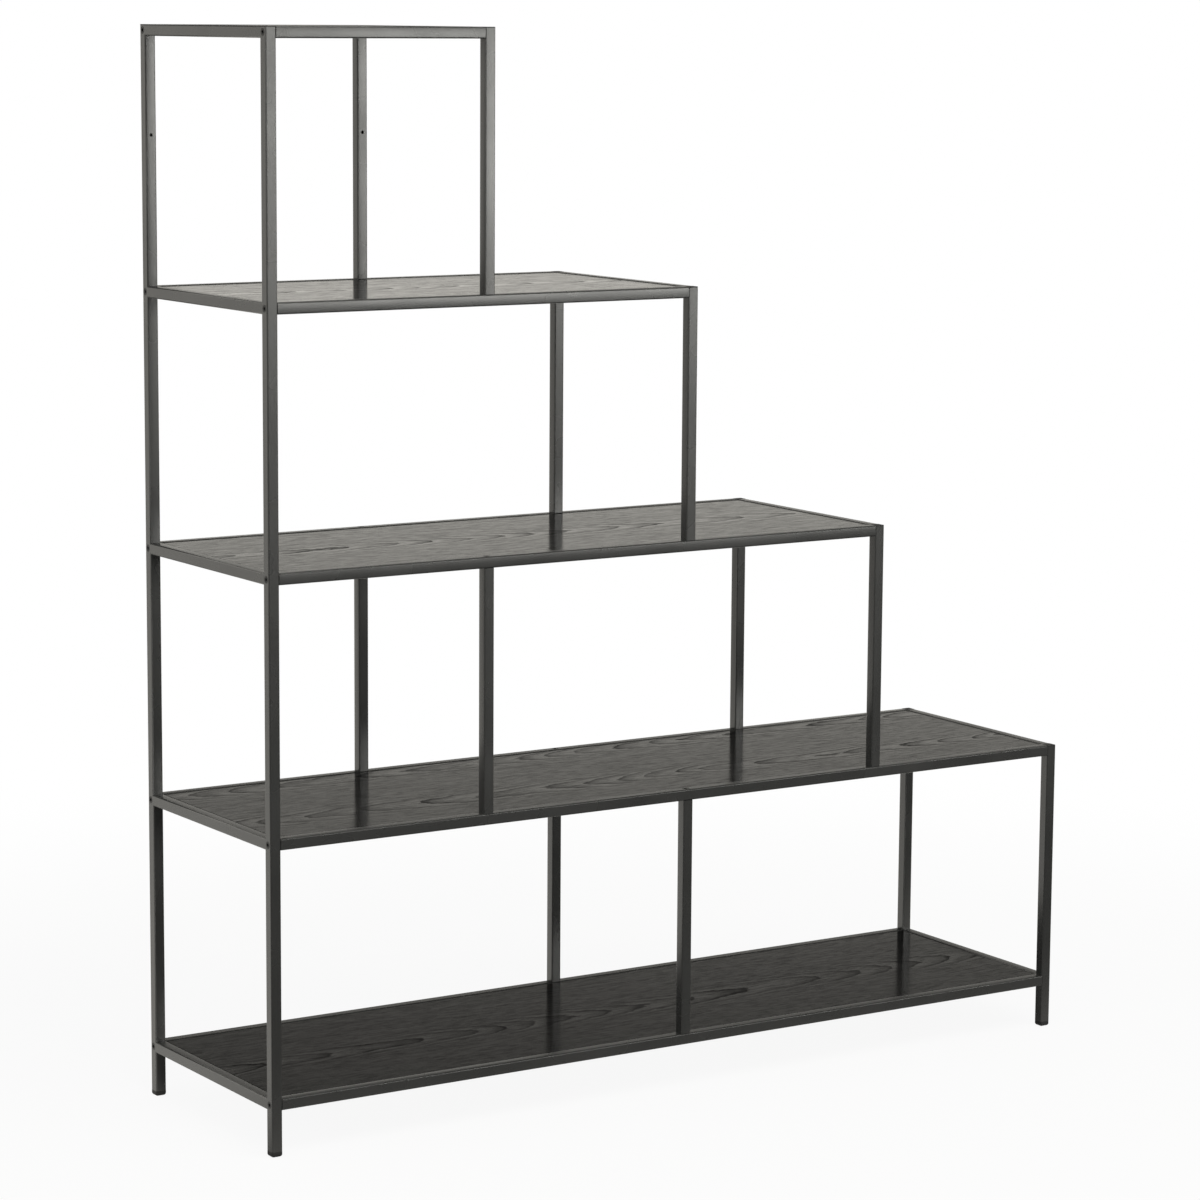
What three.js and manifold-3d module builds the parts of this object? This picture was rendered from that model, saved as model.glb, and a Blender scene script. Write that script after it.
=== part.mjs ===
// Staircase bookshelf: wood shelves set into a bolted frame of square steel tube.
// Millimetres, +Z up. The front faces -Y and the tall end is at -X.
// The origin is on the floor, under the middle of the outline.
import * as THREE from 'three';
import { mergeVertices } from 'three/addons/utils/BufferGeometryUtils.js';
import Module from 'manifold-3d';

const wasm = await Module();
wasm.setup();

// Square tube
const tube = 15;
const tubeWall = 1.2;
const tubeCorner = 1.8;
const endPlate = 3;
const ventRadius = 4;

// Whole frame
const depth = 350;
const columnPitch = 315;
const levelPitch = 340;
const lowestRailTop = 76;

// Bays along each level, from the lowest up: the stair loses one bay a level
const bayCounts = [4, 4, 3, 2, 1];

// Bays between the tall end and the divider posts that stand on each of the lower levels
const dividerBayCounts = [2, 1];

// Shelf panels and the tabs that carry them
const panelDrop = 0.8;
const panelGap = 1;
const panelEdge = 0.6;
const panelCorner = 1;
const tabThickness = 1.9;
const tabRise = 0.3;
const tabReach = 14;
const tabWidth = 24;
const tabShares = [0.22, 0.78];

// Countersunk socket bolts
const boltHeadRadius = 4.8;
const boltHeadDepth = 1.8;
const boltRadius = 3;
const boltLength = 26;
const boltTip = 0.8;
const socketAcross = 4;
const socketDepth = 2.6;

// Plastic foot plugs and post caps
const footHead = 7;
const footEdge = 2.6;
const footInsert = 16;
const capHead = 1.2;
const capEdge = 0.5;

// Holes that screw the rear posts to a wall
const wallHoleRadius = 2.4;
const wallHoleDrop = 143;

// Clearance between parts that fit in one another, and the run of a cutter past its cut
const clearance = 0.3;
const overrun = 2;

// Facets
const tubeFacets = 2;
const boreFacets = 1;
const footFacets = 2;
const boltFacets = 10;
const ventFacets = 8;
const socketSides = 6;

// Sizes that follow from the ones above
const half = tube / 2;
const bore = tube - 2 * tubeWall;
const boreCorner = tubeCorner - tubeWall;
const insertSide = bore - 2 * clearance;
const insertCorner = boreCorner;
const railY = depth / 2 - half;
const rungReach = depth / 2 - tube;
const rungBoreReach = rungReach - tubeWall;
const panelThickness = tube - panelDrop - tabThickness - tabRise;
const lastColumn = Math.max(...bayCounts);
const topLevel = bayCounts.length - 1;
const dividers = dividerBayCounts.map((column, level) => ({ column, level }));
const boltHole = boltRadius + clearance;
const coneSlope = (boltHeadRadius - boltRadius) / boltHeadDepth;
const coneAtInsert = boltHeadRadius - coneSlope * (tubeWall + clearance);
const capInsert = half - coneAtInsert - capHead - clearance;

const sides = [
  { name: 'front', sign: -1 },
  { name: 'rear', sign: 1 },
];

function finish(name, color, roughness, metalness) {
  return new THREE.MeshStandardMaterial({ name, color, roughness, metalness });
}

const steel = finish('powder_coat', 0x2d2d2e, 0.5, 0.2);
const wood = finish('black_ash', 0x3a3733, 0.45, 0);
const plastic = finish('black_plastic', 0x161616, 0.6, 0);
const screwSteel = finish('black_bolt', 0x1d1d1e, 0.4, 0.6);

const columnX = (column) => (column - lastColumn / 2) * columnPitch;
const railTop = (level) => lowestRailTop + level * levelPitch;
const railZ = (level) => railTop(level) - half;

// Solids and meshes

function solidOf(geometry) {
  const bare = geometry.clone();
  bare.deleteAttribute('normal');
  bare.deleteAttribute('uv');
  const merged = mergeVertices(bare);
  return new wasm.Manifold(new wasm.Mesh({
    numProp: 3,
    vertProperties: new Float32Array(merged.attributes.position.array),
    triVerts: new Uint32Array(merged.index.array),
  }));
}

function geometryOf(solid) {
  const mesh = solid.getMesh();
  const geometry = new THREE.BufferGeometry();
  geometry.setAttribute('position', new THREE.BufferAttribute(new Float32Array(mesh.vertProperties), 3));
  geometry.setIndex(new THREE.BufferAttribute(new Uint32Array(mesh.triVerts), 1));
  geometry.computeVertexNormals();
  return geometry;
}

const join = (solids) => solids.reduce((all, next) => all.add(next));
const cut = (solid, cutters) => cutters.reduce((left, next) => left.subtract(next), solid);

// A rectangle with round corners, counted once round from the right-hand side
function roundedOutline(width, height, corner, facets) {
  const centres = [[1, 1], [-1, 1], [-1, -1], [1, -1]];
  return centres.flatMap(([alongX, alongY], quarter) => {
    const x = alongX * (width / 2 - corner);
    const y = alongY * (height / 2 - corner);
    return Array.from({ length: facets + 1 }, (_, step) => {
      const angle = (quarter + (facets ? step / facets : 0)) * Math.PI / 2;
      return new THREE.Vector2(x + corner * Math.cos(angle), y + corner * Math.sin(angle));
    });
  });
}

// A convex solid through a stack of rounded outlines with equal point counts
function stack(layers, facets) {
  const rings = layers.map(({ width, height, corner }) => roundedOutline(width, height, corner, facets));
  const count = rings[0].length;
  const points = rings.flatMap((ring, i) => ring.flatMap((point) => [point.x, point.y, layers[i].z]));
  const faces = [];
  for (let layer = 0; layer < rings.length - 1; layer += 1) {
    for (let i = 0; i < count; i += 1) {
      const a = layer * count + i;
      const b = layer * count + (i + 1) % count;
      faces.push(a, b, b + count, a, b + count, a + count);
    }
  }
  const lid = (rings.length - 1) * count;
  for (let i = 1; i < count - 1; i += 1) {
    faces.push(0, i + 1, i, lid, lid + i, lid + i + 1);
  }
  const geometry = new THREE.BufferGeometry();
  geometry.setAttribute('position', new THREE.Float32BufferAttribute(points, 3));
  geometry.setIndex(faces);
  return geometry;
}

const square = (side, corner, z) => ({ width: side, height: side, corner, z });

// Turns a piece that was made along Z to lie along X or Y
function turned(geometry, axis) {
  if (axis === 'x') return geometry.rotateY(Math.PI / 2);
  if (axis === 'y') return geometry.rotateX(-Math.PI / 2);
  return geometry;
}

function bar(axis, from, to, centre, side, corner, facets) {
  const geometry = stack([square(side, corner, from), square(side, corner, to)], facets);
  return solidOf(turned(geometry, axis).translate(...centre));
}

const tubeSkin = (axis, from, to, centre) => bar(axis, from, to, centre, tube, tubeCorner, tubeFacets);
const tubeBore = (axis, from, to, centre) => bar(axis, from, to, centre, bore, boreCorner, boreFacets);

function drill(axis, from, to, centre, radius, facets) {
  const geometry = new THREE.CylinderGeometry(radius, radius, to - from, facets);
  geometry.rotateX(Math.PI / 2).translate(0, 0, (from + to) / 2);
  return solidOf(turned(geometry, axis).translate(...centre));
}

function block(size, centre) {
  return solidOf(new THREE.BoxGeometry(...size).translate(...centre));
}

// Countersunk bolt, head at the origin and shank along -Y

function boltProfile(grow, length, tip) {
  return [
    new THREE.Vector2(0, -length),
    new THREE.Vector2(boltRadius + grow - tip, -length),
    new THREE.Vector2(boltRadius + grow, tip - length),
    new THREE.Vector2(boltRadius + grow, -boltHeadDepth),
    new THREE.Vector2(boltHeadRadius + grow, 0),
  ];
}

function boltGeometry() {
  const profile = [...boltProfile(0, boltLength, boltTip), new THREE.Vector2(0, 0)];
  const body = solidOf(new THREE.LatheGeometry(profile, boltFacets));
  const radius = socketAcross / 2 / Math.cos(Math.PI / socketSides);
  const key = new THREE.CylinderGeometry(radius, radius, socketDepth + overrun, socketSides);
  return geometryOf(body.subtract(solidOf(key.translate(0, (overrun - socketDepth) / 2, 0))));
}

// The hole that a bolt passes: it opens past the head, and runs as far as length
function boltCutter(length) {
  const profile = [
    ...boltProfile(clearance, length, 0).filter((_, i) => i !== 1),
    new THREE.Vector2(boltHeadRadius + clearance, overrun),
    new THREE.Vector2(0, overrun),
  ];
  return new THREE.LatheGeometry(profile, boltFacets);
}

// End frames: posts with rungs welded between them, open to each other through vent holes

function endFrame({ bottom, top, levels, boltSign, bottomPlates, wallHole }) {
  const low = bottom - railTop(top);
  const localZ = (level) => railZ(level) - railTop(top);
  const skins = [];
  const cutters = [];
  for (const { name, sign } of sides) {
    const y = sign * railY;
    skins.push(tubeSkin('z', low, -capHead, [0, y, 0]));
    cutters.push(tubeBore('z', bottomPlates ? low + endPlate : low - overrun, overrun, [0, y, 0]));
    if (bottomPlates) {
      cutters.push(drill('z', low - overrun, low + 2 * endPlate, [0, y, 0], boltHole, boltFacets));
    }
    for (const level of levels) {
      const hole = boltCutter(tube + overrun).rotateZ(-boltSign * Math.PI / 2);
      cutters.push(solidOf(hole.translate(boltSign * half, y, localZ(level))));
    }
    if (wallHole && name === 'rear') {
      cutters.push(drill('y', -tube, tube, [0, y, -wallHoleDrop], wallHoleRadius, ventFacets));
    }
  }
  for (const level of levels) {
    const centre = [0, 0, localZ(level)];
    const weld = rungReach + tubeCorner;
    skins.push(tubeSkin('y', -weld, weld, centre));
    cutters.push(tubeBore('y', -rungBoreReach, rungBoreReach, centre));
    cutters.push(drill('y', -railY, railY, centre, ventRadius, ventFacets));
  }
  const seats = sides.map(({ sign }) => bar('z', -capHead, overrun, [0, sign * railY, 0], tube, 0, 0));
  return geometryOf(cut(join(skins), [...cutters, ...seats]));
}

// Rails: plated tube ends take the bolts, and tabs on the inner face carry the panel

function railGeometry(level, sign) {
  const left = columnX(0) + half;
  const length = columnX(bayCounts[level]) - half - left;
  const skins = [tubeSkin('x', 0, length, [0, 0, 0])];
  const cutters = [
    tubeBore('x', endPlate, length - endPlate, [0, 0, 0]),
    drill('x', -overrun, length + overrun, [0, 0, 0], boltHole, boltFacets),
  ];
  const tabTop = half - panelDrop - panelThickness;
  for (let bay = 0; bay < bayCounts[level]; bay += 1) {
    for (const share of tabShares) {
      const x = columnX(bay + share) - left;
      const root = half - tubeWall;
      const y = -sign * (root + (tabReach + tubeWall) / 2);
      skins.push(block([tabWidth, tabReach + tubeWall, tabThickness], [x, y, tabTop - tabThickness / 2]));
    }
  }
  for (const { column, fromAbove } of postScrews(level)) {
    const hole = boltCutter(tube + overrun).rotateX(fromAbove ? Math.PI / 2 : -Math.PI / 2);
    cutters.push(solidOf(hole.translate(columnX(column) - left, 0, fromAbove ? half : -half)));
  }
  return geometryOf(cut(join(skins), cutters));
}

// Where a rail is screwed to a post that stands on it or hangs under it
function postScrews(level) {
  const standing = dividers.filter((divider) => divider.level === level);
  const hanging = dividers.filter((divider) => divider.level === level - 1);
  if (level < topLevel && bayCounts[level + 1] < bayCounts[level]) {
    standing.push({ column: bayCounts[level + 1] });
  }
  return [
    ...standing.map(({ column }) => ({ column, fromAbove: false })),
    ...hanging.map(({ column }) => ({ column, fromAbove: true })),
  ];
}

function dividerGeometry() {
  const length = levelPitch - tube;
  return geometryOf(cut(tubeSkin('z', 0, length, [0, 0, 0]), [
    tubeBore('z', endPlate, length - endPlate, [0, 0, 0]),
    drill('z', -overrun, length + overrun, [0, 0, 0], boltHole, boltFacets),
  ]));
}

// Shelf panel, its underside at the origin

function panelGeometry(level) {
  const width = bayCounts[level] * columnPitch - tube - 2 * panelGap;
  const height = depth - 2 * tube - 2 * panelGap;
  const layer = (inset, z) => ({
    width: width - 2 * inset,
    height: height - 2 * inset,
    corner: panelCorner,
    z,
  });
  return stack([
    layer(panelEdge, 0),
    layer(0, panelEdge),
    layer(0, panelThickness - panelEdge),
    layer(panelEdge, panelThickness),
  ], boreFacets);
}

// Foot plug: a head with a rounded lower edge, and an insert in the post

function footGeometry() {
  const layers = Array.from({ length: footFacets + 1 }, (_, step) => {
    const angle = step / footFacets * Math.PI / 2;
    const inset = footEdge * (1 - Math.sin(angle));
    return square(tube - 2 * inset, tubeCorner, footEdge * (1 - Math.cos(angle)));
  });
  layers.push(square(tube, tubeCorner, footHead));
  const insert = [
    square(insertSide, insertCorner, footEdge),
    square(insertSide, insertCorner, footHead + footInsert),
  ];
  return geometryOf(solidOf(stack(layers, tubeFacets)).add(solidOf(stack(insert, boreFacets))));
}

// Cap in a post's upper end, its head seated on the tube at the origin

function capGeometry() {
  const head = [
    square(tube, tubeCorner, 0),
    square(tube, tubeCorner, capHead - capEdge),
    square(tube - 2 * capEdge, tubeCorner, capHead),
  ];
  const insert = [
    square(insertSide, insertCorner, -capInsert),
    square(insertSide, insertCorner, capHead / 2),
  ];
  return geometryOf(solidOf(stack(head, tubeFacets)).add(solidOf(stack(insert, boreFacets))));
}

// The bookshelf

const bookshelf = new THREE.Group();
bookshelf.name = 'staircase_bookshelf';

function place(name, geometry, material, x, y, z) {
  const mesh = new THREE.Mesh(geometry, material);
  mesh.name = name;
  mesh.position.set(x, y, z);
  bookshelf.add(mesh);
  return mesh;
}

const stepNames = ['', '', 'middle_step', 'upper_step', 'top_step'];
const shortTop = bayCounts.lastIndexOf(lastColumn);
const everyLevel = bayCounts.map((_, level) => level);

const frames = [
  {
    name: 'left_end',
    column: 0,
    spec: { bottom: footHead, top: topLevel, levels: everyLevel, boltSign: -1, wallHole: true },
  },
  {
    name: 'right_end',
    column: lastColumn,
    spec: { bottom: footHead, top: shortTop, levels: everyLevel.slice(0, shortTop + 1), boltSign: 1 },
  },
  ...everyLevel.slice(shortTop + 1).map((level) => ({
    name: stepNames[level],
    column: bayCounts[level],
    spec: {
      bottom: railTop(level - 1),
      top: level,
      levels: [level],
      boltSign: 1,
      bottomPlates: true,
      wallHole: level === topLevel,
    },
  })),
];

const foot = footGeometry();
const cap = capGeometry();
const bolt = boltGeometry();
const divider = dividerGeometry();

for (const { name, column, spec } of frames) {
  place(`${name}_frame`, endFrame(spec), steel, columnX(column), 0, railTop(spec.top));
  for (const { name: side, sign } of sides) {
    const y = sign * railY;
    place(`${name}_cap_${side}`, cap, plastic, columnX(column), y, railTop(spec.top) - capHead);
    if (!spec.bottomPlates) place(`${name}_foot_${side}`, foot, plastic, columnX(column), y, 0);
    for (const level of spec.levels) {
      const x = columnX(column) + spec.boltSign * half;
      const mesh = place(`${name}_bolt_${side}_${level}`, bolt, screwSteel, x, y, railZ(level));
      mesh.rotation.z = -spec.boltSign * Math.PI / 2;
    }
  }
}

for (const level of everyLevel) {
  for (const { name: side, sign } of sides) {
    const rail = railGeometry(level, sign);
    place(`rail_${side}_${level}`, rail, steel, columnX(0) + half, sign * railY, railZ(level));
  }
  const middle = (columnX(0) + columnX(bayCounts[level])) / 2;
  const underside = railTop(level) - panelDrop - panelThickness;
  place(`shelf_${level}`, panelGeometry(level), wood, middle, 0, underside);
}

for (const { column, level } of dividers) {
  for (const { name: side, sign } of sides) {
    place(`divider_${side}_${level}`, divider, steel, columnX(column), sign * railY, railTop(level));
  }
}

export default bookshelf;
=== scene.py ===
import math
import bmesh
import bpy
from mathutils import Matrix, Vector


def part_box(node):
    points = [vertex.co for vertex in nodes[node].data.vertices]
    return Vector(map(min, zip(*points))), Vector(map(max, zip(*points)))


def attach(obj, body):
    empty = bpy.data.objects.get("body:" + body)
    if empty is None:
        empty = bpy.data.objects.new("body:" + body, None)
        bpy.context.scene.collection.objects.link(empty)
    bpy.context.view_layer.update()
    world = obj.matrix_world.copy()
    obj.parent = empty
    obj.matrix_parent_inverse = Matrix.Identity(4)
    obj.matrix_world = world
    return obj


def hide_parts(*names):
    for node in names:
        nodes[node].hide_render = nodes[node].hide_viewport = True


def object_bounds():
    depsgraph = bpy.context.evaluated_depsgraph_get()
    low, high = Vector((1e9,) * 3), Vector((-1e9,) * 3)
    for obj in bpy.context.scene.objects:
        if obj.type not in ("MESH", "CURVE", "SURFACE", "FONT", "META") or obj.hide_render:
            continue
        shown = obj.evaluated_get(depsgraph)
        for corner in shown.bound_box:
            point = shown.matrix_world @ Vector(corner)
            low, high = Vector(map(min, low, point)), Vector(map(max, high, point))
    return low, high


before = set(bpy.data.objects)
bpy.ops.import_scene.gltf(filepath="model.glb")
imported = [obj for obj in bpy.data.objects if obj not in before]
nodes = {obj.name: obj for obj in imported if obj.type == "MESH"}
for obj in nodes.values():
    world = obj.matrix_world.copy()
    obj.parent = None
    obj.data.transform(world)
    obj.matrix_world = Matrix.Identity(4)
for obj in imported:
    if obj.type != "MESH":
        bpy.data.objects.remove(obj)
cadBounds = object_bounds()
print("frame loaded with", len(nodes), "nodes")


# camera

cameraSet = {
    "place": (-2.8810, -4.4425, 1.4547),
    "turn": 32.67,  # degrees from straight at the front, towards the low end
    "tilt": 8.618,  # degrees down
    "roll": 0.383,
    "lens": 116.27,
    "sensor": 36,
}

cameraData = bpy.data.cameras.new("camera")
cameraData.lens = cameraSet["lens"]
cameraData.sensor_width = cameraSet["sensor"]
camera = bpy.data.objects.new("camera", cameraData)
bpy.context.scene.collection.objects.link(camera)
look = (
    Matrix.Rotation(-math.radians(cameraSet["turn"]), 4, "Z")
    @ Matrix.Rotation(math.radians(90 - cameraSet["tilt"]), 4, "X")
    @ Matrix.Rotation(math.radians(cameraSet["roll"]), 4, "Z")
)
camera.matrix_world = Matrix.Translation(cameraSet["place"]) @ look
bpy.context.scene.camera = camera
bpy.context.scene.view_settings.view_transform = "Standard"
print("camera set")


# node helpers

def addNode(tree, kind, inputs=None, **fields):
    node = tree.nodes.new(kind)
    for name, value in fields.items():
        setattr(node, name, value)
    for key, value in (inputs or {}).items():
        if isinstance(value, bpy.types.NodeSocket):
            tree.links.new(value, node.inputs[key])
        else:
            node.inputs[key].default_value = value
    return node


def maths(tree, operation, a, b=0.0, c=0.0):
    return addNode(tree, "ShaderNodeMath", {0: a, 1: b, 2: c}, operation=operation).outputs[0]


def vectorMaths(tree, operation, a, b=(0, 0, 0)):
    return addNode(tree, "ShaderNodeVectorMath", {0: a, 1: b}, operation=operation).outputs


def mapRange(tree, value, fromMin, fromMax, toMin, toMax, smooth=False):
    node = addNode(
        tree, "ShaderNodeMapRange",
        {"Value": value, "From Min": fromMin, "From Max": fromMax, "To Min": toMin, "To Max": toMax},
        interpolation_type="SMOOTHSTEP" if smooth else "LINEAR",
    )
    return node.outputs["Result"]


def mixColours(tree, factor, dark, light):
    node = addNode(tree, "ShaderNodeMix", {0: factor, 6: dark, 7: light}, data_type="RGBA")
    return node.outputs[2]


def addBump(tree, surface, height, strength, distance):
    bump = addNode(tree, "ShaderNodeBump", {"Height": height, "Strength": strength, "Distance": distance})
    tree.links.new(bump.outputs[0], surface.inputs["Normal"])


def newGroup(name, inputs, outputs):
    group = bpy.data.node_groups.new(name, "ShaderNodeTree")
    for socketName, kind, value in inputs:
        socket = group.interface.new_socket(socketName, in_out="INPUT", socket_type=kind)
        if value is not None:
            socket.default_value = value
    for socketName, kind in outputs:
        group.interface.new_socket(socketName, in_out="OUTPUT", socket_type=kind)
    return group, group.nodes.new("NodeGroupInput"), group.nodes.new("NodeGroupOutput")


def newMaterial(name):
    material = bpy.data.materials.new(name)
    material.use_nodes = True
    tree = material.node_tree
    tree.nodes.clear()
    surface = tree.nodes.new("ShaderNodeBsdfPrincipled")
    out = tree.nodes.new("ShaderNodeOutputMaterial")
    tree.links.new(surface.outputs[0], out.inputs["Surface"])
    place = tree.nodes.new("ShaderNodeTexCoord").outputs["Object"]
    return material, tree, surface, place


# shared effects

def makeGritGroup():
    # fine sprayed texture: a height for bump and a slow change over the piece
    group, given, out = newGroup(
        "sprayGrit",
        [
            ("Vector", "NodeSocketVector", None),
            ("Grain", "NodeSocketFloat", 900.0),
            ("Patch", "NodeSocketFloat", 14.0),
        ],
        [("Height", "NodeSocketFloat"), ("Change", "NodeSocketFloat")],
    )
    grain = addNode(group, "ShaderNodeTexNoise", {
        "Vector": given.outputs["Vector"], "Scale": given.outputs["Grain"], "Detail": 2.0, "Roughness": 0.6,
    })
    patch = addNode(group, "ShaderNodeTexNoise", {
        "Vector": given.outputs["Vector"], "Scale": given.outputs["Patch"], "Detail": 3.0, "Roughness": 0.55,
    })
    group.links.new(grain.outputs["Fac"], out.inputs["Height"])
    group.links.new(patch.outputs["Fac"], out.inputs["Change"])
    return group


grainSet = {
    "strip": 0.2,  # width of one veneer strip, with a chain of pointed rings along its middle
    "repeat": 0.65,  # length over which the rings stretch and close up
    "middle": 0.70,  # tone of the plain wood beside the chain
    "chain": (0.014, 0.045, 1.0, 0.16),  # two half widths, and how much of the rings shows at them
    "weakest": 0.55,  # strength of the faintest ring
    "ringTones": ((0.0, 1.0), (0.16, 1.0), (0.5, 0.76), (0.78, 0.5), (0.93, 0.08), (1.0, 0.16)),
    "wander": (  # stretch along X and Y, size, seed, and what it bends
        ((2.5, 1.5), 0.030, 3.1, "across"),
        ((16.0, 30.0), 0.007, 7.7, "across"),
        ((7.0, 9.0), 0.0075, 11.3, "depth"),
        ((60.0, 130.0), 0.0016, 19.9, "depth"),
    ),
    "pores": ((48.0, 900.0, 300.0), 1.7, 0.36, 0.52),  # stretch, seed, and noise from and to which they fade
    "streaks": ((9.0, 160.0, 60.0), 5.9, 0.34, 0.66),
}


def makeGrainGroup():
    # flat-cut ash: chains of pointed growth rings along X, straight grain beside them, and short open pores
    group, given, out = newGroup(
        "ashGrain",
        [
            ("Vector", "NodeSocketVector", None),
            ("Heart", "NodeSocketFloat", 0.085),
            ("Slope", "NodeSocketFloat", 0.055),
            ("Sway", "NodeSocketFloat", 0.0026),
            ("Ring", "NodeSocketFloat", 0.004),
            ("Phase", "NodeSocketFloat", 0.0),
        ],
        [("Tone", "NodeSocketFloat"), ("Pores", "NodeSocketFloat"), ("Streaks", "NodeSocketFloat")],
    )
    vector = given.outputs["Vector"]
    parts = addNode(group, "ShaderNodeSeparateXYZ", {0: vector})

    def stretched(stretch, seed, detail):
        spread = addNode(group, "ShaderNodeMapping", {
            "Vector": vector, "Location": (seed, seed, 0), "Scale": stretch,
        })
        noise = addNode(group, "ShaderNodeTexNoise", {
            "Vector": spread.outputs[0], "Scale": 1.0, "Detail": detail, "Roughness": 0.55,
        })
        return noise.outputs["Fac"]

    bent = {"across": parts.outputs["Y"], "depth": given.outputs["Heart"]}
    slope = maths(group, "MULTIPLY", parts.outputs["X"], given.outputs["Slope"])
    bent["depth"] = maths(group, "ADD", bent["depth"], slope)
    swing = maths(group, "MULTIPLY", parts.outputs["X"], 2 * math.pi / grainSet["repeat"])
    sway = maths(group, "MULTIPLY", maths(group, "SINE", swing), given.outputs["Sway"])
    bent["depth"] = maths(group, "ADD", bent["depth"], sway)
    for stretch, size, seed, bends in grainSet["wander"]:
        drift = maths(group, "SUBTRACT", stretched((*stretch, 1.0), seed, 2.0), 0.5)
        bent[bends] = maths(group, "ADD", bent[bends], maths(group, "MULTIPLY", drift, size))
    across = maths(group, "WRAP", bent["across"], grainSet["strip"] / 2, -grainSet["strip"] / 2)
    acrossSquare = maths(group, "POWER", across, 2.0)
    square = maths(group, "ADD", acrossSquare, maths(group, "POWER", bent["depth"], 2.0))
    rings = maths(group, "DIVIDE", maths(group, "SQRT", square), given.outputs["Ring"])
    rings = maths(group, "ADD", rings, given.outputs["Phase"])
    ringNumber = maths(group, "FLOOR", rings)
    chance = addNode(group, "ShaderNodeTexWhiteNoise", {"W": ringNumber}, noise_dimensions="1D")
    strength = mapRange(group, chance.outputs["Value"], 0.0, 1.0, grainSet["weakest"], 1.0)
    beside = mapRange(group, maths(group, "ABSOLUTE", across), *grainSet["chain"], smooth=True)
    ramp = addNode(group, "ShaderNodeValToRGB", {0: maths(group, "FRACT", rings)})
    stops = ramp.color_ramp.elements
    tones = grainSet["ringTones"]
    stops[0].position, stops[-1].position = tones[0][0], tones[-1][0]
    for at, level in tones[1:-1]:
        stops.new(at)
    for stop, (at, level) in zip(stops, tones):
        stop.color = (level, level, level, 1)
    lift = maths(group, "SUBTRACT", ramp.outputs["Color"], grainSet["middle"])
    lift = maths(group, "MULTIPLY", lift, maths(group, "MULTIPLY", strength, beside))
    group.links.new(maths(group, "ADD", lift, grainSet["middle"]), out.inputs["Tone"])

    for name in ("pores", "streaks"):
        stretch, seed, low, high = grainSet[name]
        marks = mapRange(group, stretched(stretch, seed, 3.0), low, high, 0.0, 1.0)
        group.links.new(marks, out.inputs[name.capitalize()])
    return group


gritGroup = makeGritGroup()
grainGroup = makeGrainGroup()
print("shared effects made")


# materials

sprayedSet = {
    "powderCoat": {
        "dark": (0.0235, 0.0237, 0.0227, 1),
        "light": (0.0300, 0.0302, 0.0289, 1),
        "grain": 1400.0,
        "patch": 9.0,
        "rough": (0.24, 0.30),
        "bump": (0.06, 0.00012),  # strength and distance
        "ior": 1.7,
        "metal": 0.0,
    },
    "blackPlastic": {
        "dark": (0.006, 0.006, 0.006, 1),
        "light": (0.011, 0.011, 0.011, 1),
        "grain": 2600.0,
        "patch": 14.0,
        "rough": (0.45, 0.60),
        "bump": (0.3, 0.00006),
        "ior": 1.5,
        "metal": 0.0,
    },
    "blackBolt": {
        "dark": (0.010, 0.010, 0.011, 1),
        "light": (0.022, 0.022, 0.022, 1),
        "grain": 2000.0,
        "patch": 400.0,
        "rough": (0.32, 0.50),
        "bump": (0.2, 0.00004),
        "ior": 1.5,
        "metal": 0.4,
    },
}


def makeSprayed(name):
    finish = sprayedSet[name]
    material, tree, surface, place = newMaterial(name)
    grit = addNode(tree, "ShaderNodeGroup", node_tree=gritGroup)
    tree.links.new(place, grit.inputs["Vector"])
    grit.inputs["Grain"].default_value = finish["grain"]
    grit.inputs["Patch"].default_value = finish["patch"]
    colour = mixColours(tree, grit.outputs["Change"], finish["dark"], finish["light"])
    tree.links.new(colour, surface.inputs["Base Color"])
    rough = mapRange(tree, grit.outputs["Change"], 0.3, 0.7, *finish["rough"])
    tree.links.new(rough, surface.inputs["Roughness"])
    addBump(tree, surface, grit.outputs["Height"], *finish["bump"])
    surface.inputs["IOR"].default_value = finish["ior"]
    surface.inputs["Metallic"].default_value = finish["metal"]
    return material


ashSet = {
    "pore": (0.006, 0.0058, 0.0055, 1),
    "dark": (0.003, 0.0029, 0.0028, 1),
    "light": (0.0125, 0.0122, 0.0116, 1),
    "streak": 0.84,  # tone of the darkest straight streaks
    "coat": (0.0, 0.80, 0.10, 1.0),  # tones from and to which the lacquer grows, and how much it is there
    "poreCoat": 0.38,  # share of the lacquer over the pores
    "coatRough": 0.14,
    "coatIor": 1.5,
    "specular": 0.0,
    "rough": (0.62, 0.48),  # of the wood itself, dark and light
    "ringHeight": 0.6,
    "bump": (0.2, 0.00005),
}


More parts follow.
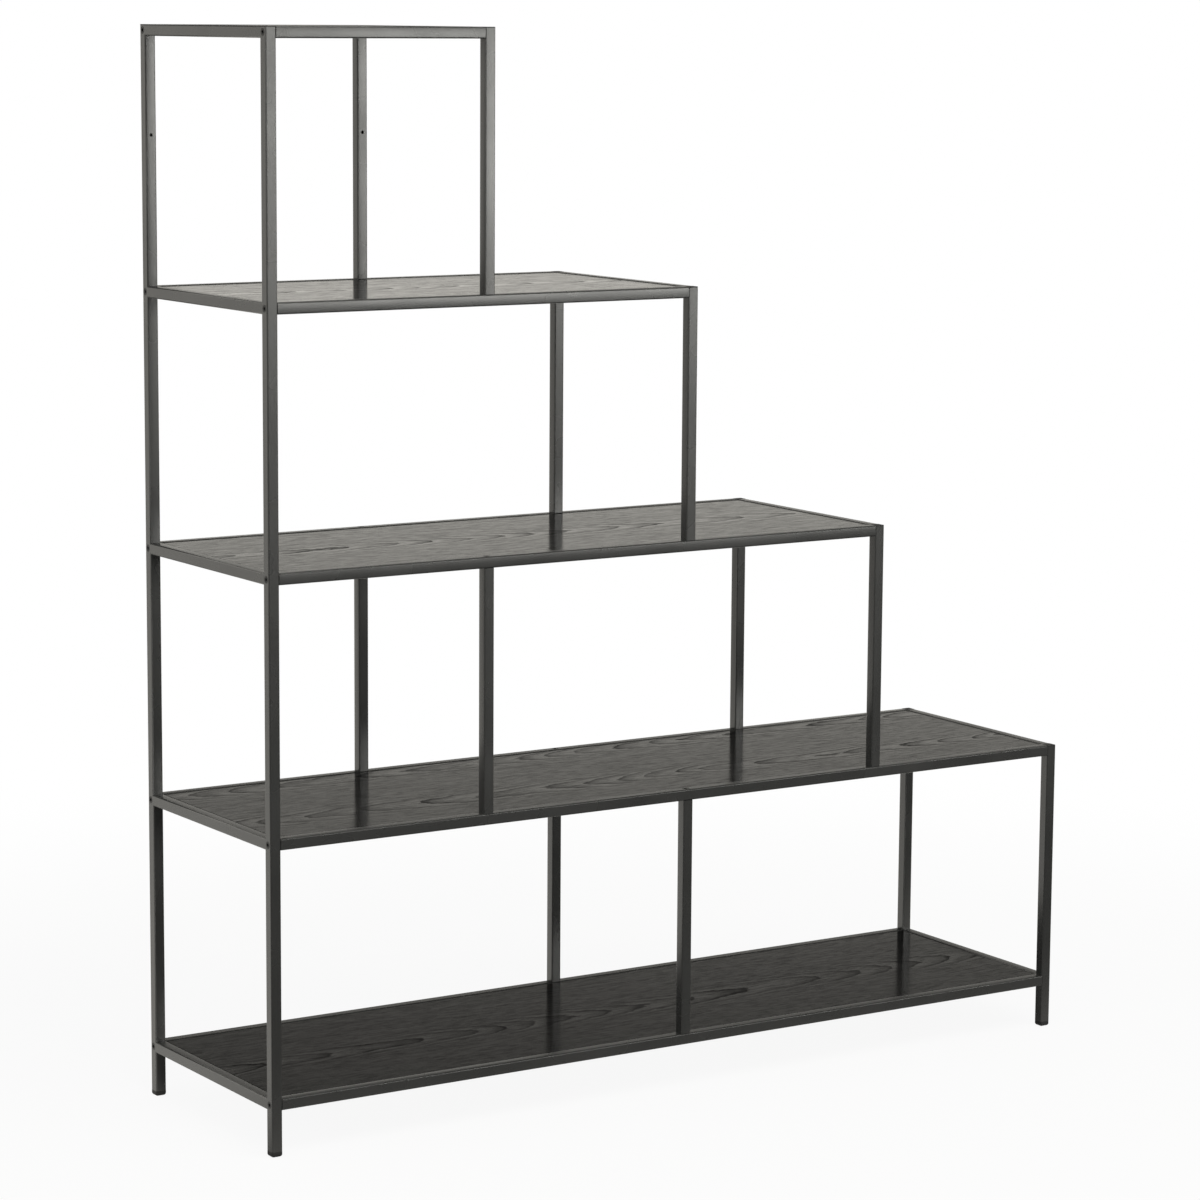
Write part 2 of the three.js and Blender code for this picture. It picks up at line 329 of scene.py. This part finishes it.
def makeAsh(level, veneer):
    material, tree, surface, place = newMaterial("blackAsh" + str(level))
    moved = addNode(tree, "ShaderNodeMapping", {
        "Vector": place, "Location": (*veneer["shift"], level), "Scale": (veneer["points"], 1, 1),
    })
    grain = addNode(tree, "ShaderNodeGroup", node_tree=grainGroup)
    tree.links.new(moved.outputs[0], grain.inputs["Vector"])
    grain.inputs["Heart"].default_value = veneer["heart"]
    grain.inputs["Phase"].default_value = veneer["phase"]
    streaky = mapRange(tree, grain.outputs["Streaks"], 0.0, 1.0, ashSet["streak"], 1.0)
    tone = maths(tree, "MULTIPLY", grain.outputs["Tone"], streaky)
    wood = mixColours(tree, tone, ashSet["dark"], ashSet["light"])
    colour = mixColours(tree, grain.outputs["Pores"], ashSet["pore"], wood)
    tree.links.new(colour, surface.inputs["Base Color"])
    overPores = mapRange(tree, grain.outputs["Pores"], 0.0, 1.0, ashSet["poreCoat"], 1.0)
    coat = maths(tree, "MULTIPLY", mapRange(tree, tone, *ashSet["coat"]), overPores)
    tree.links.new(coat, surface.inputs["Coat Weight"])
    surface.inputs["Coat Roughness"].default_value = ashSet["coatRough"]
    surface.inputs["Coat IOR"].default_value = ashSet["coatIor"]
    surface.inputs["Specular IOR Level"].default_value = ashSet["specular"]
    tree.links.new(mapRange(tree, tone, 0.0, 1.0, *ashSet["rough"]), surface.inputs["Roughness"])
    ringHeight = maths(tree, "MULTIPLY", grain.outputs["Tone"], ashSet["ringHeight"])
    height = maths(tree, "ADD", grain.outputs["Pores"], ringHeight)
    addBump(tree, surface, height, *ashSet["bump"])
    return material


powderCoat = makeSprayed("powderCoat")
blackPlastic = makeSprayed("blackPlastic")
blackBolt = makeSprayed("blackBolt")
print("materials made")


# pieces

def bevelEdges(bm, edges, offset, segments):
    bmesh.ops.bevel(
        bm, geom=edges, offset=offset, offset_type="OFFSET", segments=segments,
        profile=0.5, affect="EDGES", material=-1,
    )


orderAlong = Vector((1.0, 2.37, 5.91))  # a slanted line, so that no two corners of a piece lie level on it


def newPiece(name, bm, material, replaced=()):
    bm.verts.sort(key=lambda v: v.co.dot(orderAlong))  # the same order in each run
    bm.faces.sort(key=lambda f: f.calc_center_median().dot(orderAlong))
    mesh = bpy.data.meshes.new(name)
    bm.to_mesh(mesh)
    bm.free()
    piece = bpy.data.objects.new(name, mesh)
    bpy.context.scene.collection.objects.link(piece)
    piece.data.materials.append(material)
    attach(piece, "root")
    for node in replaced:
        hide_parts(node)
    return piece


def smoothPiece(piece, sharpAngle):
    mesh = piece.data
    given = mesh.attributes.get("custom_normal")  # a copied solid brings the normals of its triangles
    if given:
        mesh.attributes.remove(given)
    for face in mesh.polygons:
        face.use_smooth = True
    mesh.set_sharp_from_angle(angle=math.radians(sharpAngle))
    even = piece.modifiers.new("even", "WEIGHTED_NORMAL")
    even.keep_sharp = True
    even.mode = "FACE_AREA"
    even.weight = 100  # the flat faces keep their own normals, and the corners turn between them


# steel tube: the frame's own solids, merged and shaded as drawn tube

steelSet = {
    "merge": 0.000002,
    "flat": 1,  # degrees up to which neighbouring triangles count as one face
    "sharp": 50,
    "half": 0.0075,  # half the width of the tube
}
steelNodes = sorted(
    name for name in nodes if name.endswith("_frame") or name.startswith(("rail_", "divider_"))
)
for name in steelNodes:
    bm = bmesh.new()
    bm.from_mesh(nodes[name].data)
    bmesh.ops.remove_doubles(bm, verts=bm.verts, dist=steelSet["merge"])
    flat = math.radians(steelSet["flat"])
    bmesh.ops.dissolve_limit(bm, angle_limit=flat, verts=bm.verts, edges=bm.edges)
    coated = newPiece(name + "_coated", bm, powderCoat, [name])
    smoothPiece(coated, steelSet["sharp"])
print("steel frame:", len(steelNodes), "pieces")


# shelf panels

panelSet = {"edge": 0.0006, "segments": 3, "sharp": 60}
panelGrain = {  # points is the way along X in which the rings point
    0: {"heart": 0.085, "phase": 0.30, "shift": (0.10, 0.013), "points": 1},
    1: {"heart": 0.085, "phase": 0.00, "shift": (0.00, 0.065), "points": -1},
    2: {"heart": 0.085, "phase": 0.55, "shift": (0.20, 0.000), "points": 1},
    3: {"heart": 0.085, "phase": 0.20, "shift": (0.30, 0.010), "points": 1},
    4: {"heart": 0.085, "phase": 0.70, "shift": (0.40, -0.060), "points": -1},
}


def placedCube(bm, low, high):
    made = bmesh.ops.create_cube(bm, size=1.0)["verts"]
    low, high = Vector(low), Vector(high)
    bmesh.ops.scale(bm, vec=high - low, verts=made)
    bmesh.ops.translate(bm, vec=(low + high) / 2, verts=made)


for level, veneer in panelGrain.items():
    node = "shelf_" + str(level)
    low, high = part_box(node)
    bm = bmesh.new()
    placedCube(bm, low, high)
    bevelEdges(bm, bm.edges[:], panelSet["edge"], panelSet["segments"])
    panel = newPiece(node + "_panel", bm, makeAsh(level, veneer), [node])
    smoothPiece(panel, panelSet["sharp"])
print("shelf panels:", len(panelGrain))


# foot plugs and post caps

# head is the visible height, edge the rounding of the outer face, corner that of the upright edges
footSet = {"head": 0.007, "edge": 0.0034, "corner": 0.0018, "segments": 6, "sharp": 40}
capSet = {"head": 0.0012, "edge": 0.0005, "corner": 0.0018, "segments": 4, "sharp": 40}


def plugPiece(node, headSet, headAtTop):
    low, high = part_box(node)
    side = 1 if headAtTop else -1  # which way the rounded face looks
    seat = (high.z if headAtTop else low.z) - side * headSet["head"]
    outer = seat + side * (headSet["head"] - headSet["edge"])
    bm = bmesh.new()
    placedCube(bm, (low.x, low.y, min(seat, outer)), (high.x, high.y, max(seat, outer)))
    upright = [e for e in bm.edges if abs(e.verts[0].co.z - e.verts[1].co.z) > 0.0001]
    bevelEdges(bm, upright, headSet["corner"], headSet["segments"])
    middle = Vector(((low.x + high.x) / 2, (low.y + high.y) / 2, outer))
    face = max(bm.faces, key=lambda f: side * f.calc_center_median().z)
    width, turned = high.x - low.x, 0.0
    for step in range(1, headSet["segments"] + 1):  # a quarter turn from the sides to the outer face
        grown = bmesh.ops.extrude_face_region(bm, geom=[face])["geom"]
        bmesh.ops.delete(bm, geom=[face], context="FACES_ONLY")
        face = next(g for g in grown if isinstance(g, bmesh.types.BMFace))
        angle = math.radians(90) * step / headSet["segments"]
        inset = headSet["edge"] * (1 - math.cos(angle))
        rise = headSet["edge"] * math.sin(angle)
        share = (high.x - low.x - 2 * inset) / width
        bmesh.ops.scale(bm, vec=(share, share, 1), space=Matrix.Translation(-middle), verts=face.verts)
        bmesh.ops.translate(bm, vec=(0, 0, side * (rise - turned)), verts=face.verts)
        width, turned = high.x - low.x - 2 * inset, rise
    bmesh.ops.recalc_face_normals(bm, faces=bm.faces)
    plug = newPiece(node + "_moulded", bm, blackPlastic, [node])
    smoothPiece(plug, headSet["sharp"])


feet = [name for name in nodes if "_foot_" in name]
caps = [name for name in nodes if "_cap_" in name]
for name in feet:
    plugPiece(name, footSet, False)
for name in caps:
    plugPiece(name, capSet, True)
print("plugs:", len(feet), "feet and", len(caps), "caps")


# countersunk socket bolts

boltSet = {
    "facets": 24,
    "sharp": 35,
    "rings": [  # shape, half width, depth behind the head's face
        ("hex", 0.0020, 0.0026),
        ("hex", 0.0020, 0.0003),
        ("hex", 0.0022, 0.0),
        ("round", 0.0046, 0.0),
        ("round", 0.0048, 0.0002),
        ("round", 0.0047, 0.0004),
        ("round", 0.0030, 0.0018),
        ("round", 0.0030, 0.0160),
    ],
}


def ringRadius(shape, width, angle):
    if shape == "round":
        return width
    sixth = math.radians(60)
    return width / math.cos((angle + sixth / 2) % sixth - sixth / 2)


def boltMesh(bm, centre, inward, madeTo=boltSet):
    facets = madeTo["facets"]
    turn = Vector((0, 0, -1)).rotation_difference(Vector(inward)).to_matrix().to_4x4()
    ring = bmesh.ops.create_circle(bm, cap_ends=True, segments=facets, radius=1.0)["verts"]
    everyVert = list(ring)
    for step, (shape, width, depth) in enumerate(madeTo["rings"]):
        if step:
            corners = set(ring)
            edges = [e for e in bm.edges if corners.issuperset(e.verts)]
            grown = bmesh.ops.extrude_edge_only(bm, edges=edges)["geom"]
            ring = [v for v in grown if isinstance(v, bmesh.types.BMVert)]
            everyVert += ring
        for vert in ring:
            angle = math.atan2(vert.co.y, vert.co.x)
            radius = ringRadius(shape, width, angle)
            vert.co = Vector((math.cos(angle) * radius, math.sin(angle) * radius, -depth))
    bmesh.ops.contextual_create(bm, geom=ring)
    bmesh.ops.transform(bm, matrix=Matrix.Translation(centre) @ turn, verts=everyVert)


def finishBolt(name, bm, replaced=()):
    bmesh.ops.recalc_face_normals(bm, faces=bm.faces)
    bolt = newPiece(name, bm, blackBolt, replaced)
    smoothPiece(bolt, boltSet["sharp"])


cadBolts = [name for name in nodes if "_bolt_" in name]
for name in cadBolts:
    low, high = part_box(name)
    fromLeft = name.startswith("left_end")
    bm = bmesh.new()
    centre = Vector((low.x if fromLeft else high.x, (low.y + high.y) / 2, (low.z + high.z) / 2))
    boltMesh(bm, centre, (1, 0, 0) if fromLeft else (-1, 0, 0))
    finishBolt(name + "_turned", bm, [name])

postScrewSet = [  # rail level, piece that the screws hold, from above
    (0, "divider_front_0", False),
    (1, "divider_front_0", True),
    (1, "divider_front_1", False),
    (2, "divider_front_1", True),
    (1, "middle_step_frame", False),
    (2, "upper_step_frame", False),
    (3, "top_step_frame", False),
]
for level, held, fromAbove in postScrewSet:
    heldLow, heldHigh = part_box(held)
    x = (heldLow.x + heldHigh.x) / 2
    for side in ("front", "rear"):
        railLow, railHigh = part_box("rail_" + side + "_" + str(level))
        y = railLow.y + steelSet["half"] if side == "front" else railHigh.y - steelSet["half"]
        z = railHigh.z if fromAbove else railLow.z
        bm = bmesh.new()
        boltMesh(bm, Vector((x, y, z)), (0, 0, -1) if fromAbove else (0, 0, 1))
        way = "_down" if fromAbove else "_up"
        finishBolt("post_screw_" + held.split("_")[0] + "_" + side + "_" + str(level) + way, bm)
print("bolts:", len(cadBolts), "in the posts and", 2 * len(postScrewSet), "in the rails")


# panel screws, sunk in the tabs under each panel

panelScrewSet = {
    "facets": 18,
    "rings": [
        ("hex", 0.0012, 0.0012),
        ("hex", 0.0012, 0.0),
        ("round", 0.0031, 0.0),
        ("round", 0.0033, 0.0002),
        ("round", 0.0018, 0.0015),
        ("round", 0.0018, 0.0080),
    ],
    "shares": (0.22, 0.78),  # places of the tabs along a bay
    "pitch": 0.315,
    "beside": 0.0085,  # from a column's middle to the panel's end
    "inset": 0.022,  # from the outside of the rails
    "sunk": 0.0002,  # from the rail's underside up to the head's face
}
rows = (cadBounds[0].y + panelScrewSet["inset"], cadBounds[1].y - panelScrewSet["inset"])
for level in panelGrain:
    low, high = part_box("shelf_" + str(level))
    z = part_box("rail_front_" + str(level))[0].z + panelScrewSet["sunk"]
    bays = round((high.x - low.x + 2 * panelScrewSet["beside"]) / panelScrewSet["pitch"])
    bm = bmesh.new()
    for bay in range(bays):
        for share in panelScrewSet["shares"]:
            x = low.x - panelScrewSet["beside"] + (bay + share) * panelScrewSet["pitch"]
            for y in rows:
                boltMesh(bm, Vector((x, y, z)), (0, 0, 1), panelScrewSet)
    finishBolt("panel_screws_" + str(level), bm)
print("panel screws made")


# floor, world and lamps

floorSet = {
    "radius": 2.7,
    "segments": 96,
    "lift": -0.0005,
    "grey": (0.80, 0.80, 0.80, 1),
    "near": 0.9,  # m from the middle, where the floor starts to pass into the white surroundings
    "far": 2.2,
    "white": 0.92,  # how white it looks near the middle
    # tint of the painted floor light that gloss shows
    "warm": (1.0, 0.975, 0.91, 1),
    "mirrored": (-0.6, 0.3, 0.03, 1.0),  # painted floor light as gloss shows it, darker in front: y from, y to, level in front, level behind
    "under": (0.9, 1.08, 0.15, 1.0),  # painted shadow under the object in that light: the same outwards from under the object, in shares of its half size
}


def makeFloor():
    bm = bmesh.new()
    bmesh.ops.create_circle(bm, cap_ends=True, segments=floorSet["segments"], radius=floorSet["radius"])
    mesh = bpy.data.meshes.new("floor")
    bm.to_mesh(mesh)
    bm.free()
    floor = bpy.data.objects.new("floor", mesh)
    floor.location.z = floorSet["lift"]
    bpy.context.scene.collection.objects.link(floor)
    material = bpy.data.materials.new("paleFloor")
    material.use_nodes = True
    tree = material.node_tree
    tree.nodes.clear()
    paper = addNode(tree, "ShaderNodeBsdfDiffuse", {"Color": floorSet["grey"]})
    white = addNode(tree, "ShaderNodeEmission", {"Color": (1, 1, 1, 1), "Strength": 1.0})
    path = tree.nodes.new("ShaderNodeLightPath")
    place = tree.nodes.new("ShaderNodeTexCoord").outputs["Object"]
    reach = vectorMaths(tree, "LENGTH", place)["Value"]
    pale = mapRange(tree, reach, floorSet["near"], floorSet["far"], floorSet["white"], 1.0, smooth=True)
    seen = maths(tree, "MULTIPLY", path.outputs["Is Camera Ray"], pale)
    # gloss sees the floor as an emission, not as lit paper: painted light, darker in front, with a painted
    # shadow under the object
    depth = addNode(tree, "ShaderNodeSeparateXYZ", {0: place}).outputs["Y"]
    level = mapRange(tree, depth, *floorSet["mirrored"], smooth=True)
    half = (cadBounds[1] - cadBounds[0]) / 2
    shares = vectorMaths(tree, "MULTIPLY", place, (1 / half.x, 1 / half.y, 0))[0]
    shares = vectorMaths(tree, "ABSOLUTE", shares)[0]
    shares = addNode(tree, "ShaderNodeSeparateXYZ", {0: shares}).outputs
    outward = maths(tree, "MAXIMUM", shares["X"], shares["Y"])
    level = maths(tree, "MULTIPLY", level, mapRange(tree, outward, *floorSet["under"], smooth=True))
    paintedFloorGlow = addNode(tree, "ShaderNodeEmission", {"Color": floorSet["warm"], "Strength": level})
    mirrored = maths(tree, "MAXIMUM", path.outputs["Is Glossy Ray"], path.outputs["Is Transmission Ray"])
    mixed = addNode(tree, "ShaderNodeMixShader", {0: mirrored, 1: paper.outputs[0], 2: paintedFloorGlow.outputs[0]})
    mixed = addNode(tree, "ShaderNodeMixShader", {0: seen, 1: mixed.outputs[0], 2: white.outputs[0]})
    out = tree.nodes.new("ShaderNodeOutputMaterial")
    tree.links.new(mixed.outputs[0], out.inputs["Surface"])
    mesh.materials.append(material)


worldSet = {
    "soft": 0.42,  # even light on the object
    "warm": (1.0, 0.972, 0.90, 1),
    "fade": (0.085, 0.267, 1.0, 0.14),  # as gloss shows it: sines of two heights, and the levels at them
    "rise": (0.5, 0.75, 0.0, 0.45),  # the same for the ceiling, which is brighter again
    "front": (0.0, 0.15, 0.05, 0.4),  # the same on the front side, against 1 behind
    "turn": (-0.75, 0.75),  # where the front side passes into the rear one
    "gap": (0.70, 0.13, 0.17, 0.25),  # dark stretch to the left: its middle, two half widths and its level
}


def makeWorld():
    world = bpy.data.worlds.new("studio")
    bpy.context.scene.world = world
    world.use_nodes = True
    tree = world.node_tree
    tree.nodes.clear()
    path = tree.nodes.new("ShaderNodeLightPath")
    mirrored = maths(tree, "MAXIMUM", path.outputs["Is Glossy Ray"], path.outputs["Is Transmission Ray"])
    soft = addNode(tree, "ShaderNodeBackground", {"Color": (1, 1, 1, 1), "Strength": worldSet["soft"]})
    toward = tree.nodes.new("ShaderNodeTexCoord").outputs["Generated"]
    toward = addNode(tree, "ShaderNodeSeparateXYZ", {0: toward}).outputs
    level = mapRange(tree, toward["Z"], *worldSet["fade"])
    level = maths(tree, "ADD", level, mapRange(tree, toward["Z"], *worldSet["rise"]))
    front = mapRange(tree, toward["Z"], *worldSet["front"])
    sideways = mapRange(tree, toward["Y"], *worldSet["turn"], front, 1.0, smooth=True)
    level = maths(tree, "MULTIPLY", level, sideways)
    middle, inner, outer, dim = worldSet["gap"]
    aside = maths(tree, "ABSOLUTE", maths(tree, "ADD", toward["X"], middle))
    level = maths(tree, "MULTIPLY", level, mapRange(tree, aside, inner, outer, dim, 1.0))
    warm = addNode(tree, "ShaderNodeBackground", {"Color": worldSet["warm"], "Strength": level})
    white = addNode(tree, "ShaderNodeBackground", {"Color": (1, 1, 1, 1), "Strength": 1.0})
    mixed = addNode(tree, "ShaderNodeMixShader", {0: mirrored, 1: soft.outputs[0], 2: warm.outputs[0]})
    seen = path.outputs["Is Camera Ray"]
    mixed = addNode(tree, "ShaderNodeMixShader", {0: seen, 1: mixed.outputs[0], 2: white.outputs[0]})
    out = tree.nodes.new("ShaderNodeOutputWorld")
    tree.links.new(mixed.outputs[0], out.inputs["Surface"])


lampSet = {
    "warm": (1.0, 0.995, 0.95),
    "key": {"place": (3.8, -5.7, 1.22), "aim": (0.0, 0.0, 1.22), "size": (3.4, 0.85), "power": 83.0},
    "fill": {"place": (-1.95, -6.7, 1.22), "aim": (-0.5, 0.0, 1.22), "size": (7.0, 0.85), "power": 58.0},
    "left": {"place": (-3.6, -0.4, 1.8), "aim": (-0.3, 0.0, 1.4), "size": (2.4, 0.9), "power": 16.0},
    "top": {"place": (-0.3, -1.9, 3.5), "aim": (0.0, 0.0, 0.7), "size": (2.6, 2.0), "power": 62.0},
}


def makeLamps():
    for name in ("key", "fill", "left", "top"):
        lamp = lampSet[name]
        data = bpy.data.lights.new(name, "AREA")
        data.shape = "RECTANGLE"
        data.size, data.size_y = lamp["size"]
        data.energy = lamp["power"]
        data.color = lampSet["warm"]
        obj = bpy.data.objects.new(name, data)
        obj.location = lamp["place"]
        beam = Vector(lamp["aim"]) - Vector(lamp["place"])
        obj.rotation_euler = beam.to_track_quat("-Z", "Y").to_euler()
        bpy.context.scene.collection.objects.link(obj)


makeFloor()
makeWorld()
makeLamps()
print("stage, world and lamps made")
